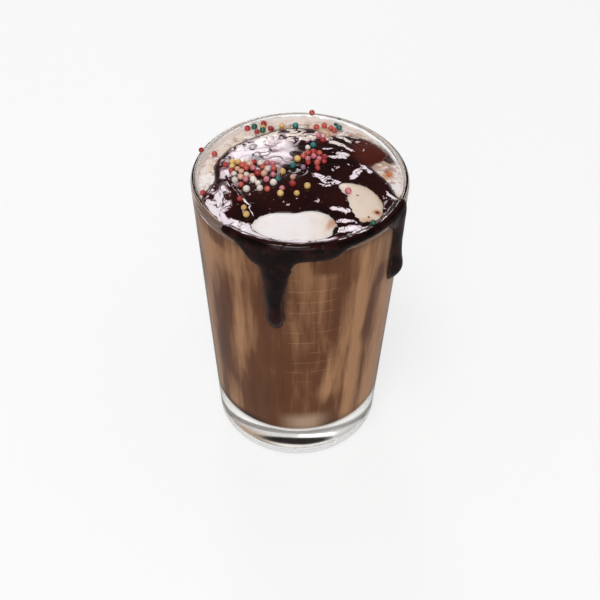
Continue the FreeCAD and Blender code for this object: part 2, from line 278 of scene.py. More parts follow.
# Lamps: name, bearing, elevation, distance, width, height, radiance, tint
LAMPS = (
    ("window", 192, 29, 1.0, 0.27, 0.34, 4.4, (1, 0.95, 0.98)),
    ("key", -20, 68, 1.0, 0.35, 0.35, 7.6, (1, 1, 1)),
    ("fill", -5, 30, 1.2, 0.8, 0.8, 1.5, (1, 1, 1)),
)


# ---------------------------------------------------------------- meshes

def node_mesh(node):
    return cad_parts[node].data


def add_piece(name, mesh, replaced=()):
    piece = bpy.data.objects.new(name, mesh)
    bpy.context.scene.collection.objects.link(piece)
    for polygon in mesh.polygons:
        polygon.use_smooth = True
    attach(piece, "root")
    if replaced:
        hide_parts(*replaced)
    return piece


def mesh_from(name, bm):
    """Mesh of a bmesh, which is freed."""
    mesh = bpy.data.meshes.new(name)
    bm.to_mesh(mesh)
    bm.free()
    return mesh


def arc(centre_r, centre_z, radius, start, end, count):
    """Points of an arc in the (radius, height) plane, angles in degrees."""
    points = []
    for i in range(count + 1):
        turn = math.radians(start + (end - start) * i / count)
        points.append((centre_r + radius * math.cos(turn), centre_z + radius * math.sin(turn)))
    return points


def straight(start, end, count):
    """Points between two ends, without the ends."""
    return [
        tuple(a + (b - a) * i / count for a, b in zip(start, end))
        for i in range(1, count)
    ]


def turned(name, profile):
    """Mesh turned about the axis from a profile of (radius, height) whose ends lie on the axis."""
    bm = bmesh.new()
    rings = []
    for radius, height in profile:
        if radius < ON_AXIS:
            rings.append([bm.verts.new((0, 0, height))])
            continue
        ring = []
        for i in range(TURNS):
            turn = 2 * math.pi * i / TURNS
            ring.append(bm.verts.new((radius * math.sin(turn), -radius * math.cos(turn), height)))
        rings.append(ring)
    for low, high in zip(rings, rings[1:]):
        for i in range(TURNS):
            j = (i + 1) % TURNS
            if len(low) == 1:
                bm.faces.new((low[0], high[j], high[i]))
            elif len(high) == 1:
                bm.faces.new((low[i], low[j], high[0]))
            else:
                bm.faces.new((low[i], low[j], high[j], high[i]))
    bmesh.ops.recalc_face_normals(bm, faces=bm.faces)
    return mesh_from(name, bm)


def heel_point():
    """Radius and height at which the outer wall's straight run starts, just above the heel."""
    low = [v.co for v in node_mesh("glass").vertices if v.co.z < 2 * HEEL_RADIUS]
    widest = max(low, key=lambda co: math.hypot(co.x, co.y))
    return math.hypot(widest.x, widest.y), widest.z


HEEL_TOP_RADIUS, HEEL_TOP_Z = heel_point()


def outer_radius(z):
    share = (z - HEEL_TOP_Z) / (LIP_Z - HEEL_TOP_Z)
    return HEEL_TOP_RADIUS + (RIM_RADIUS - HEEL_TOP_RADIUS) * share


def inner_radius(z):
    share = (z - FLOOR) / (HEIGHT - FLOOR)
    return outer_radius(z) - (WALL_FOOT + (WALL_TOP - WALL_FOOT) * share)


def bowl_profile(grow, level):
    """Inside of the bowl from the floor's middle to a level, grown into the glass."""
    tilt = math.degrees(math.atan2(inner_radius(level) - inner_radius(FLOOR), level - FLOOR))
    radius = FLOOR_CORNER + grow
    corner_z = FLOOR + FLOOR_CORNER
    corner_r = inner_radius(corner_z) - FLOOR_CORNER
    points = [(0, FLOOR - grow)] + straight((0, FLOOR - grow), (corner_r, FLOOR - grow), 8)
    points += arc(corner_r, corner_z, radius, -90, -tilt, ARC_STEPS)
    top = (inner_radius(level) + grow, level)
    return points + straight(points[-1], top, WALL_STEPS) + [top]


def make_tumbler():
    """The glass: punt, foot, heel, outer wall, rounded lip, then down the inside."""
    heel_r = outer_radius(HEEL_RADIUS) - HEEL_RADIUS
    punt_sphere = (PUNT_RADIUS ** 2 + PUNT_DEPTH ** 2) / (2 * PUNT_DEPTH)
    punt_edge = math.degrees(math.asin(PUNT_RADIUS / punt_sphere))
    profile = arc(0, PUNT_DEPTH - punt_sphere, punt_sphere, 90, 90 - punt_edge, ARC_STEPS)
    profile[0] = (0, PUNT_DEPTH)
    profile += straight(profile[-1], (heel_r, 0), 4)
    profile += arc(heel_r, HEEL_RADIUS, HEEL_RADIUS, -90, -3, 8)
    profile += straight(profile[-1], (outer_radius(LIP_Z), LIP_Z), WALL_STEPS)
    profile += arc(outer_radius(LIP_Z) - LIP_RADIUS, LIP_Z, LIP_RADIUS, 0, 180, 16)
    profile += list(reversed(bowl_profile(0, LIP_Z)))[1:]
    return add_piece("tumbler", turned("tumbler", profile), ("glass",))


def make_drink():
    """What fills the glass, grown just into its wall so that no air gap shows."""
    profile = bowl_profile(INTO_WALL, SHAKE_LEVEL)
    profile += straight(profile[-1], (0, SHAKE_LEVEL), 6) + [(0, SHAKE_LEVEL)]
    return add_piece("drink", turned("drink", profile), ("shake",))


def remeshed_copy(name, node, voxel):
    """Even, fine mesh of a node's shape."""
    mesh = node_mesh(node).copy()
    mesh.materials.clear()
    piece = bpy.data.objects.new(name, mesh)
    bpy.context.scene.collection.objects.link(piece)
    modifier = piece.modifiers.new("remesh", "REMESH")
    modifier.mode = "VOXEL"
    modifier.voxel_size = voxel
    modifier.adaptivity = 0
    depsgraph = bpy.context.evaluated_depsgraph_get()
    result = bpy.data.meshes.new_from_object(piece.evaluated_get(depsgraph))
    bpy.data.objects.remove(piece)
    result.name = name
    return result


def smoothed(mesh, rounds=3, factor=0.5):
    bm = bmesh.new()
    bm.from_mesh(mesh)
    for _ in range(rounds):
        bmesh.ops.smooth_vert(
            bm, verts=bm.verts, factor=factor, use_axis_x=True, use_axis_y=True, use_axis_z=True
        )
    bm.normal_update()
    bm.to_mesh(mesh)
    bm.free()


def pushed(mesh, amount):
    """Moves each point along its normal by amount(point, normal)."""
    mesh.update()
    moves = [amount(v.co, v.normal) * v.normal for v in mesh.vertices]
    for vertex, move in zip(mesh.vertices, moves):
        vertex.co += move
    mesh.update()


def make_cream():
    """The cream layer, softly lumped on top and grown just into the glass at its side."""
    mesh = remeshed_copy("cream_layer", "cream", CREAM_VOXEL)
    smoothed(mesh)

    def fluff(co, normal):
        if normal.z < CREAM_TOP:
            return INTO_WALL
        return CREAM_FLUFF * noise.fractal(co * 140, 0.9, 2.0, 3)

    pushed(mesh, fluff)
    return add_piece("cream_layer", mesh, ("cream",))


def film_reach(bearing):
    """How far cream clings to the glass above the cream's edge, in metres."""
    for (start, low), (end, high) in zip(FILM_REACH, FILM_REACH[1:]):
        if start <= bearing <= end:
            return (low + (high - low) * (bearing - start) / (end - start)) * MM
    return 0.0


def film_ring(bm, bearing):
    """One upright loop of the cream film: up the glass, then down its own face."""
    low = CREAM_EDGE - FILM_OVERLAP
    turn = math.radians(bearing)
    away = Vector((math.sin(turn), -math.cos(turn), 0))
    rag = noise.fractal(away * 9 + Vector((3, 1, 7)), 0.8, 2.0, 4)
    high = min(CREAM_EDGE + film_reach(bearing) * (1 + FILM_RAG * rag), HEIGHT - 0.5 * MM)
    outside, inside = [], []
    for k in range(FILM_STEPS + 1):
        z = low + (high - low) * k / FILM_STEPS
        over = max(z - LIP_Z, 0)
        lip = LIP_RADIUS - math.sqrt(LIP_RADIUS ** 2 - over ** 2)
        wall = inner_radius(min(z, LIP_Z)) + lip
        lump = 1 + FILM_LUMPS * noise.noise(Vector((away.x * 14, away.y * 14, z * 500)))
        thick = FILM_THICKNESS * lump * (1 - FILM_THINNING * k / FILM_STEPS)
        outside.append(bm.verts.new(away * (wall + INTO_WALL) + Vector((0, 0, z))))
        inside.append(bm.verts.new(away * (wall - thick) + Vector((0, 0, z - 0.2 * MM))))
    return outside + list(reversed(inside))


def make_film():
    """Thin ring of cream left on the glass's inside, up to a ragged edge."""
    steps = 2 * TURNS
    bm = bmesh.new()
    rings = [film_ring(bm, 360 * i / steps - 180) for i in range(steps)]
    for i in range(steps):
        ring, other = rings[i], rings[(i + 1) % steps]
        for k in range(len(ring)):
            m = (k + 1) % len(ring)
            bm.faces.new((ring[k], other[k], other[m], ring[m]))
    bmesh.ops.recalc_face_normals(bm, faces=bm.faces)
    return add_piece("cream_film", mesh_from("cream_film", bm))


def fold_height(co):
    """Low raised thread where two runs of sauce met."""
    near = 1.0
    for (x0, y0), (x1, y1) in zip(FOLD, FOLD[1:]):
        start, end = Vector((x0, y0)) * MM, Vector((x1, y1)) * MM
        along = end - start
        share = min(max((co.xy - start).dot(along) / along.length_squared, 0), 1)
        near = min(near, (co.xy - start - along * share).length)
    return FOLD_HEIGHT * math.exp(-(near / FOLD_WIDTH) ** 2)


def calm(co):
    """1 in the pool's dark middle, where the sauce lies smooth, falling to 0 round it."""
    x, y, length, width, _ = CALM_SPOT
    away = math.hypot((co.x / MM - x) / length, (co.y / MM - y) / width)
    return min(max((CALM_END - away) / CALM_FADE, 0), 1)


def make_sauce():
    """The sauce, with the soft folds and creases of something thick that ran together."""
    mesh = remeshed_copy("sauce_sheet", "sauce", SAUCE_VOXEL)
    smoothed(mesh)

    def ripple(co, normal):
        if normal.z < SAUCE_TOP:
            return OVERLAP + SIDE_RIPPLE * noise.noise(co * 250)
        warp = noise.noise_vector(co * 90) * WARP * MM
        swell = noise.noise((co + warp) * 110)
        contour = abs(noise.noise((co + warp * 2) * 130 + Vector((7, 3, 1))))
        crease = 1 - min(contour * CREASE_SHARPNESS, 1)
        height = RIPPLE * (1 - CALM_SHARE * calm(co)) * (swell - CREASE_DEPTH * crease * crease)
        return OVERLAP + height + fold_height(co)

    pushed(mesh, ripple)
    return add_piece("sauce_sheet", mesh, ("sauce",))


# ---------------------------------------------------------------- sugar pearls and bubbles

class Surface:
    """Finds the top of several pieces under a point."""

    def __init__(self, pieces):
        depsgraph = bpy.context.evaluated_depsgraph_get()
        self.trees = [BVHTree.FromObject(piece, depsgraph) for piece in pieces]

    def at(self, x, y):
        """Highest point under (x, y) and its normal."""
        hits = []
        for tree in self.trees:
            hit = tree.ray_cast(Vector((x, y, 2 * HEIGHT)), Vector((0, 0, -1)))
            if hit[0] is not None:
                hits.append(hit[:2])
        return max(hits, key=lambda hit: hit[0].z, default=None)


def ball_cloud(name, balls, detail):
    """One mesh of balls, each a centre, a radius and a squash along its own axis."""
    bm = bmesh.new()
    for centre, radius, squash, axis in balls:
        turn = axis.to_track_quat("Z", "Y").to_matrix().to_4x4()
        shape = Matrix.Diagonal((radius, radius, radius * squash, 1))
        place = Matrix.Translation(centre) @ turn @ shape
        bmesh.ops.create_icosphere(bm, subdivisions=detail, radius=1.0, matrix=place)
    return mesh_from(name, bm)


def scatter(draw, count, centre, radii, turn, taken):
    """Places inside an ellipse, denser in the middle, none too near to another."""
    places = []
    for _ in range(count * TRIES):
        if len(places) == count:
            break
        reach = draw.random() ** CROWDING
        angle = draw.uniform(0, 2 * math.pi)
        u = reach * math.cos(angle) * radii[0]
        v = reach * math.sin(angle) * radii[1]
        c, s = math.cos(math.radians(turn)), math.sin(math.radians(turn))
        place = (centre[0] + u * c - v * s, centre[1] + u * s + v * c)
        if all(math.dist(place, other) > PEARL_GAP for other in taken):
            places.append(place)
            taken.append(place)
    return places


def place_pearls(draw):
    """Places of the pearls of each colour: some listed, the rest scattered round them."""
    by_colour = {name: [] for name in PEARL_COLOURS}
    taken = []
    for name, x, y in PICKED_PEARLS:
        by_colour[name].append((x, y))
        taken.append((x, y))
    for count, centre, radii, turn, palette in PEARL_CLUSTERS:
        for place in scatter(draw, count, centre, radii, turn, taken):
            by_colour[draw.choice(palette)].append(place)
    return by_colour


def make_pearls(surface):
    """Sugar pearls, one piece a colour, each pearl sunk a little into what it lies on."""
    draw = random.Random(11)
    for name, places in place_pearls(draw).items():
        balls = []
        for x, y in places:
            radius = PEARL_RADIUS * draw.uniform(*PEARL_SIZES)
            place, normal = surface.at(x * MM, y * MM)
            centre = place + normal * radius * draw.uniform(*PEARL_LIFTS)
            axis = Vector((draw.gauss(0, 1), draw.gauss(0, 1), draw.gauss(0, 1))).normalized()
            balls.append((centre, radius, draw.uniform(*PEARL_SQUASHES), axis))
        piece = add_piece("pearls_" + name, ball_cloud("pearls_" + name, balls, 3))
        paint(piece, pearl_material(name, PEARL_COLOURS[name]))


def make_bubbles(surface, sauce_only):
    """Small burst and unburst bubbles where sauce is on top, which catch the light."""
    draw = random.Random(5)
    balls = []

    def add_bubble(place, normal, radius):
        balls.append((place - normal * BUBBLE_SINK * radius, radius, BUBBLE_SQUASH, normal))

    for x, y, radius in PICKED_BUBBLES:
        add_bubble(*surface.at(x * MM, y * MM), radius * MM)
    for _ in range(BUBBLE_COUNT):
        angle, reach = draw.uniform(0, 2 * math.pi), BUBBLE_SPREAD * math.sqrt(draw.random())
        place, normal = surface.at(reach * math.cos(angle) * MM, reach * math.sin(angle) * MM)
        found = sauce_only.at(place.x, place.y)
        radius = draw.uniform(*BUBBLE_SIZES) * MM
        if found and (found[0] - place).length < radius:
            add_bubble(place, normal, radius)
    piece = add_piece("bubbles", ball_cloud("bubbles", balls, 2))
    paint(piece, sauce_material("bubble_skin", plain_sauce))


# ---------------------------------------------------------------- nodes

class Nodes:
    """Short way to build nodes. Noise and vein scales are in lumps a metre."""

    def __init__(self, owner, output="OutputMaterial"):
        owner.use_nodes = True
        self.owner = owner
        self.tree = owner.node_tree
        self.tree.nodes.clear()
        self.output = self.add(output)

    def add(self, kind, **sockets):
        """New node; a key is a socket's name, in and its number, or a setting of the node."""
        node = self.tree.nodes.new("ShaderNode" + kind)
        for key, value in sockets.items():
            self.set(node, key, value)
        return node

    def set(self, node, key, value):
        names = [s.name.lower().replace(" ", "_") for s in node.inputs]
        if key.startswith("in") and key[2:].isdigit():
            socket = node.inputs[int(key[2:])]
        elif key in names:
            socket = node.inputs[names.index(key)]
        else:
            setattr(node, key, value)
            return
        if isinstance(value, bpy.types.NodeSocket):
            self.tree.links.new(value, socket)
        else:
            socket.default_value = value

    def finish(self, shader):
        self.tree.links.new(shader.outputs[0], self.output.inputs["Surface"])
        return self.owner

    # Arithmetic

    def math(self, operation, *values, clamp=False):
        node = self.add("Math", operation=operation, use_clamp=clamp)
        for i, value in enumerate(values):
            self.set(node, "in%d" % i, value)
        return node.outputs[0]

    def chain(self, operation, values):
        result = values[0]
        for value in values[1:]:
            result = self.math(operation, result, value)
        return result

    def most(self, *values):
        return self.chain("MAXIMUM", values)

    def times(self, *values):
        return self.chain("MULTIPLY", values)

    def plus(self, *values):
        return self.chain("ADD", values)

    def apart(self, first, second):
        """Distance between two values."""
        return self.math("ABSOLUTE", self.math("SUBTRACT", first, second))

    def ramp(self, value, low, high, to_low=0.0, to_high=1.0):
        """Eases from one result to another while a value goes from low to high."""
        node = self.add(
            "MapRange", value=value, from_min=low, from_max=high, to_min=to_low, to_max=to_high
        )
        node.interpolation_type = "SMOOTHSTEP"
        return node.outputs[0]

    def fall(self, value, low, high):
        """1 below low, easing to 0 at high."""
        return self.ramp(value, low, high, 1, 0)

    def window(self, value, low, high, soft):
        """1 between two values, with soft ends."""
        rise = self.ramp(value, low - soft, low + soft)
        return self.times(rise, self.fall(value, high - soft, high + soft))

    # Colour and shaders

    def mix(self, share, first, second):
        return self.add("Mix", data_type="RGBA", in0=share, in6=first, in7=second).outputs[2]

    def coats(self, colour, *coats):
        """A colour under coats laid one over the other, each a share and a colour."""
        for share, coat in coats:
            colour = self.mix(share, colour, coat)
        return colour

    def blend(self, share, first, second):
        """Mix of two shaders."""
        return self.add("MixShader", in0=share, in1=first.outputs[0], in2=second.outputs[0])

    def bump(self, height, distance, strength):
        return self.add("Bump", height=height, distance=distance, strength=strength).outputs[0]

    # Places

    def position(self):
        return self.add("TexCoord").outputs["Object"]

    def split(self, place):
        """The x, y and z of a place."""
        return self.add("SeparateXYZ", vector=place).outputs

    def bearing(self, place):
        x, y, _ = self.split(place)
        back = self.math("MULTIPLY", y, -1)
        return self.math("DEGREES", self.math("ARCTAN2", x, back))

    def aside(self, place):
        """Bearing to either side of the front."""
        return self.math("ABSOLUTE", self.bearing(place))

    def radius(self, place):
        flat = self.add("VectorMath", operation="MULTIPLY", in0=place, in1=(1, 1, 0)).outputs[0]
        return self.add("VectorMath", operation="LENGTH", in0=flat).outputs["Value"]

    def upright(self, place, share):
        """The place with its height scaled, which stretches or flattens noise."""
        return self.add("Mapping", vector=place, scale=(1, 1, share)).outputs[0]

    def drifted(self, place, scale, reach):
        """The place moved about by noise, which makes edges wander."""
        wander = self.add("TexNoise", vector=place, scale=scale, detail=2.0).outputs["Color"]
        middle = (0.5, 0.5, 0.5)
        centred = self.add("VectorMath", operation="SUBTRACT", in0=wander, in1=middle).outputs[0]
        drift = self.add("VectorMath", operation="SCALE", in0=centred, scale=reach).outputs[0]
        return self.add("VectorMath", operation="ADD", in0=place, in1=drift).outputs[0]

    # Patterns

    def noise(self, place, scale, detail=3.0, rough=0.5, distortion=0.0):
        node = self.add(
            "TexNoise", vector=place, scale=scale, detail=detail, roughness=rough,
            distortion=distortion,
        )
        return node.outputs["Fac"]

    def patches(self, place, scale, low, high, to_low=0.0, to_high=1.0, **look):
        """Noise eased from one result to another between two of its levels."""
        return self.ramp(self.noise(place, scale, **look), low, high, to_low, to_high)

    def veins(self, place, scale, width):
        """0 on thin wandering lines, 1 between them."""
        contour = self.apart(self.noise(place, scale, detail=1.5), 0.5)
        return self.ramp(contour, width, 3 * width)

    def reach(self, place, spot):
        """Distance from a spot's middle, 1 at its edge."""
        x, y, length, width, turn = spot
        patch = self.add(
            "Mapping",
            vector_type="TEXTURE",
            vector=place,
            location=(x * MM, y * MM, HEIGHT),
            rotation=(0, 0, math.radians(turn)),
            scale=(length * MM, width * MM, 1),
        ).outputs[0]
        return self.add("VectorMath", operation="LENGTH", in0=patch).outputs["Value"]

    def spots(self, place, spots, low, high):
        """1 inside any of the spots, falling to 0 between two reaches."""
        return self.most(0.0, *[self.fall(self.reach(place, spot), low, high) for spot in spots])


# ---------------------------------------------------------------- materials

def material_nodes(name):
    """Nodes of a new material, and the place that its patterns use."""
    nodes = Nodes(bpy.data.materials.new(name))
    return nodes, nodes.position()


def glass_material():
    nodes, place = material_nodes("clear_glass")
    waves = nodes.noise(place, 25, detail=2)
    shader = nodes.add(
        "BsdfPrincipled",
        base_color=GLASS_TINT,
        roughness=nodes.patches(place, 60, 0.45, 0.8, 0.0, 0.02, detail=4, rough=0.6),
        ior=GLASS_IOR,
        specular_ior_level=0.35,
        transmission_weight=1.0,
        normal=nodes.bump(waves, 0.2 * MM, 0.1),
    )
    return nodes.finish(shader)


def streak_tone(nodes, place, height):
    """Adds up the drink's upright light and dark streaks, broken by noise."""
    stretched = nodes.upright(place, 0.12)
    broken = nodes.patches(stretched, 130, 0.3, 0.6, 0.45, 1.0, rough=0.6)
    wobble = nodes.patches(stretched, 90, 0.2, 0.8, -3, 3, detail=2)
    bearing = nodes.plus(nodes.bearing(place), wobble)
    streaks = []
    for at_low, at_high, half, low, high, strength in STREAKS:
        lean = nodes.add(
            "MapRange", value=height, from_min=low * MM, from_max=high * MM,
            to_min=at_low, to_max=at_high,
        ).outputs[0]
        across = nodes.fall(nodes.apart(bearing, lean), 0.2 * half, 1.5 * half)
        soft = min(7, 0.3 * (high - low))
        along = nodes.window(height, low * MM, high * MM, soft * MM)
        streaks.append(nodes.times(across, along, broken, strength))
    return nodes.plus(*streaks)


def ring_tone(nodes, place, height):
    """Thin pale rings round the front of the drink, seen through the glass."""
    wander = nodes.patches(place, 35, 0.2, 0.8, -0.5 * MM, 0.5 * MM, detail=2)
    height = nodes.plus(height, wander)
    share = nodes.math("FRACT", nodes.math("DIVIDE", height, RING_PITCH))
    line = nodes.fall(nodes.apart(share, 0.5), 0.0, 0.075)
    broken = nodes.patches(place, 120, 0.36, 0.56, detail=2, rough=0.6)
    side = nodes.window(nodes.bearing(place), -8, 24, 6)
    return nodes.times(line, broken, side, nodes.window(height, 47 * MM, 102 * MM, 4 * MM), 0.42)


def drink_material():
    """Brown milky drink: streaks and rings on its side, paler at the back of its top, a painted
    gleam, painted shade at its foot, and an underside painted with the light and shade seen through
    the foot.
    """
    nodes, place = material_nodes("lassi")
    height = nodes.split(place)[2]
    aside = nodes.aside(place)
    stretched = nodes.upright(place, 0.1)
    clouds = nodes.patches(place, 30, 0.3, 0.7, -0.18, 0.18, distortion=0.3)
    tone = nodes.plus(
        nodes.patches(
            stretched, 110, 0.25, 0.75, -0.35, 0.35, detail=4, rough=0.6, distortion=0.5
        ),
        nodes.patches(stretched, 330, 0.3, 0.7, -0.24, 0.24, rough=0.6, distortion=0.3),
        clouds,
        nodes.ramp(height, 30 * MM, 105 * MM, -0.12, 0.18),
        streak_tone(nodes, place, height),
        ring_tone(nodes, place, height),
    )
    gleam = nodes.times(
        nodes.fall(nodes.apart(nodes.bearing(place), 6), 2, 22),
        nodes.window(height, 16 * MM, 25 * MM, 3.5 * MM),
    )
    # Painted shade along the drink's lower edge, away from the front middle
    foot_shade_line = nodes.times(
        nodes.ramp(height, FLOOR + 3.5 * MM, FLOOR + 8.5 * MM, 0.95, 0),
        nodes.times(
            nodes.ramp(aside, 12, 34, 0.1, 1), nodes.ramp(nodes.bearing(place), 15, 45, 1, 0.35)
        ),
    )
    paler_back_top = nodes.times(
        nodes.ramp(aside, 66, 100),
        nodes.ramp(height, SHAKE_LEVEL - 12 * MM, SHAKE_LEVEL - 3 * MM),
    )
    # The underside is painted pale, tan and dark for the light and shade seen through the foot, and
    # made a mirror there
    wandering = nodes.drifted(place, 60, 3 * MM)
    dark = nodes.spots(wandering, (FOOT_SHADE_SPOT,), 0.7, 1.3)
    tan = nodes.spots(wandering, (FOOT_TAN_SPOT,), 0.4, 1.4)
    painted_foot_light_shade = nodes.coats(
        UNDERSIDE_PAINTED_LIGHT, (nodes.times(tan, 0.8), UNDERSIDE_PAINTED_TAN), (dark, UNDERSIDE_PAINTED_SHADE)
    )
    below = nodes.fall(height, FLOOR + 3 * MM, FLOOR + 4 * MM)
    foot_light_mirror = nodes.times(below, nodes.fall(dark, 0, 1))
    matte = nodes.ramp(clouds, -0.18, 0.18, 0.45, 0.6)
    shader = nodes.add(
        "BsdfPrincipled",
        base_color=nodes.coats(
            DRINK_MIDDLE,
            (nodes.math("MULTIPLY", tone, 1.0, clamp=True), DRINK_LIGHT),
            (nodes.math("MULTIPLY", tone, -1.0, clamp=True), DRINK_DARK),
            (nodes.times(gleam, 0.85), DRINK_GLEAM),
            (foot_shade_line, DRINK_FOOT_SHADE),
            (paler_back_top, DRINK_PALE_TOP),
            (below, painted_foot_light_shade),
        ),
        metallic=foot_light_mirror,
        roughness=nodes.math("SUBTRACT", matte, nodes.times(foot_light_mirror, 0.38)),
        specular_ior_level=0.0,
        normal=nodes.bump(nodes.noise(place, 300, detail=2), 0.1 * MM, 0.2),
    )
    return nodes.finish(shader)


def cream_material():
    """White cream; its ring at the sides and back is beige, lumpy, and stained near the pool."""
    nodes, place = material_nodes("whipped_cream")
    moved = nodes.drifted(place, 110, 5 * MM)
    moved_x, moved_y, _ = nodes.split(moved)
    tint = nodes.noise(place, 70)
    aslant = nodes.plus(moved_x, nodes.times(moved_y, 0.5))
    ring = nodes.times(
        nodes.ramp(nodes.radius(moved), 24 * MM, 27 * MM),
        nodes.ramp(nodes.aside(moved), 64, 80),
    )
    by_wall = nodes.times(nodes.ramp(nodes.radius(place), 31.5 * MM, 34.5 * MM), ring, 0.7)
    lumps = nodes.patches(moved, 150, 0.48, 0.58, detail=2)
    mottle = nodes.patches(place, 300, 0.5, 0.62, rough=0.65)
    near_pool = nodes.ramp(nodes.radius(moved), 30 * MM, 34 * MM, 1, 0.4)
    right_back = nodes.window(nodes.bearing(place), 95, 168, 8)
    crumbs = nodes.patches(moved, 240, 0.44, 0.54, 0, 0.6, rough=0.65)
    veins = nodes.fall(nodes.veins(moved, 190, 0.012), 0, 1)
    dark_overrun = nodes.spots(nodes.drifted(place, 250, 1.5 * MM), (SAUCE_OVERRUN,), 0.9, 1.1)
    brown_overrun = nodes.spots(nodes.drifted(place, 200, 3 * MM), (BROWN_OVERRUN,), 0.85, 1.1)
    overrun = nodes.most(dark_overrun, brown_overrun)
    soaked = nodes.times(
        nodes.fall(nodes.split(place)[2], SHAKE_LEVEL + 1.8 * MM, SHAKE_LEVEL + 2.6 * MM),
        nodes.fall(nodes.aside(place), 60, 80),
    )
    shader = nodes.add(
        "BsdfPrincipled",
        base_color=nodes.coats(
            CREAM_PALE,
            (nodes.ramp(tint, 0.4, 0.7), CREAM_WARM),
            (nodes.ramp(aslant, -14 * MM, 24 * MM, 0, 0.8), CREAM_BEIGE),
            (nodes.times(ring, 0.8), CREAM_BEIGE),
            (by_wall, CREAM_PALE),
            (nodes.times(lumps, ring, 0.8), CREAM_PALE),
            (nodes.times(crumbs, right_back, ring), CREAM_BROWN),
            (nodes.times(mottle, near_pool, ring, 0.75), CREAM_BROWN),
            (nodes.times(veins, mottle, near_pool, ring, 0.7), CREAM_VEIN),
            (nodes.times(nodes.spots(moved, CREAM_STAINS, 0.3, 1.3), 0.75), CREAM_STAIN),
            (nodes.spots(place, CREAM_SPECKS, 0.7, 1.3), CREAM_SPECK),
            (dark_overrun, SAUCE_DARK),
            (brown_overrun, SAUCE_ON_CREAM),
            (soaked, CREAM_SOAKED),
        ),
        roughness=nodes.math(
            "SUBTRACT", nodes.ramp(tint, 0.3, 0.7, 0.3, 0.5), nodes.times(overrun, 0.22)
        ),
        subsurface_weight=0.25,
        subsurface_radius=MILKY_SCATTER,
        subsurface_scale=1.0 * MM,
        normal=nodes.bump(nodes.noise(place, 700, rough=0.6), 0.1 * MM, 0.4),
    )
    return nodes.finish(shader)


def film_material():
    """Streaky cream on the glass, browner at its lower edge and where sauce ran over it."""
    nodes, place = material_nodes("cream_on_glass")
    height = nodes.split(place)[2]
    streaks = nodes.patches(nodes.upright(place, 3), 170, 0.35, 0.65, rough=0.6)
    edge = nodes.ramp(height, CREAM_EDGE, CREAM_EDGE + 0.8 * MM, 0.15, 0)
    smeared = nodes.times(
        nodes.fall(nodes.aside(place), 66, 80),
        nodes.fall(height, CREAM_EDGE + 0.1 * MM, CREAM_EDGE + 0.7 * MM),
    )
    shader = nodes.add(
        "BsdfPrincipled",
        base_color=nodes.coats(
            FILM_THIN,
            (streaks, FILM_THICK),
            (edge, FILM_EDGE),
            (nodes.times(smeared, 0.85), FILM_SMEARED),
        ),
        roughness=nodes.ramp(streaks, 0, 1, 0.35, 0.55),
        subsurface_weight=0.2,
        subsurface_radius=MILKY_SCATTER,
        subsurface_scale=0.8 * MM,
        normal=nodes.bump(streaks, 0.06 * MM, 0.4),
    )
    return nodes.finish(shader)


def sauce_material(name, colouring, ior=1.5, gloss=0.5):
    """Glossy dark sauce, coloured by a function of the nodes and the place."""
    nodes, place = material_nodes(name)
    shader = nodes.add(
        "BsdfPrincipled",
        base_color=colouring(nodes, place),
        roughness=nodes.patches(place, 50, 0.3, 0.7, 0.05, 0.12),
        ior=ior,
        specular_ior_level=gloss,
        normal=nodes.bump(nodes.noise(place, 500, detail=2), 0.03 * MM, 0.3),
    )
    return nodes.finish(shader)


def plain_sauce(nodes, place):
    return nodes.mix(nodes.patches(place, 50, 0.35, 0.7), SAUCE_DARK, SAUCE_LIGHT)


def hanging_sauce(nodes, place):
    return nodes.mix(nodes.patches(place, 170, 0.4, 0.7, rough=0.6), DRIP_DARK, DRIP_LIGHT)


def painted_reflection_share(nodes, place, moved):
    """How much painted reflection of the light the pool has, from areas, strokes, threads, flecks
    and light on the lip.
    """
    blots = nodes.patches(moved, 150, 0.36, 0.54, 0.4, 0.82, rough=0.6)
    wide = nodes.times(
        nodes.spots(moved, SMOOTH_REFLECTION_AREAS, 0.8, 1.1), nodes.veins(moved, 130, 0.012), blots
    )
    small_blots = nodes.patches(moved, 260, 0.38, 0.52, 0.1, 1, rough=0.55)
    crowded = nodes.times(
        nodes.spots(moved, VEINED_REFLECTION_AREAS, 0.75, 1.15), nodes.veins(moved, 200, 0.014), small_blots
    )
    undarkened = nodes.fall(nodes.spots(moved, DARK_SPOTS, 0.8, 1.1), 0.2, 0.8)
    areas = nodes.times(nodes.most(wide, crowded), undarkened)
    torn = nodes.drifted(place, 380, 2.8 * MM)
    strokes = nodes.times(
        nodes.spots(torn, REFLECTED_STROKES, 0.75, 1.15), nodes.veins(torn, 300, 0.008)
    )
    from_radius, to_radius, from_bearing, to_bearing = LIP_LIGHT
    on_lip = nodes.times(
        nodes.window(nodes.radius(moved), from_radius * MM, to_radius * MM, 0.4 * MM),
        nodes.window(nodes.bearing(moved), from_bearing, to_bearing, 4),
        nodes.patches(moved, 210, 0.38, 0.46, detail=2),
    )
    thread = nodes.spots(torn, FOLD_LIGHT, 0.6, 1.1)
    flecks = nodes.patches(moved, 330, 0.65, 0.69, 0, 0.7, detail=2, rough=0.6)
    inside = nodes.fall(nodes.radius(place), POOL_RADIUS * MM, (POOL_RADIUS + 0.3) * MM)
    facing_up = nodes.split(nodes.add("TexCoord").outputs["Normal"])[2]
    level = nodes.ramp(facing_up, 0.9, 0.965)
    return nodes.times(nodes.most(areas, strokes, on_lip, thread, flecks), inside, level)


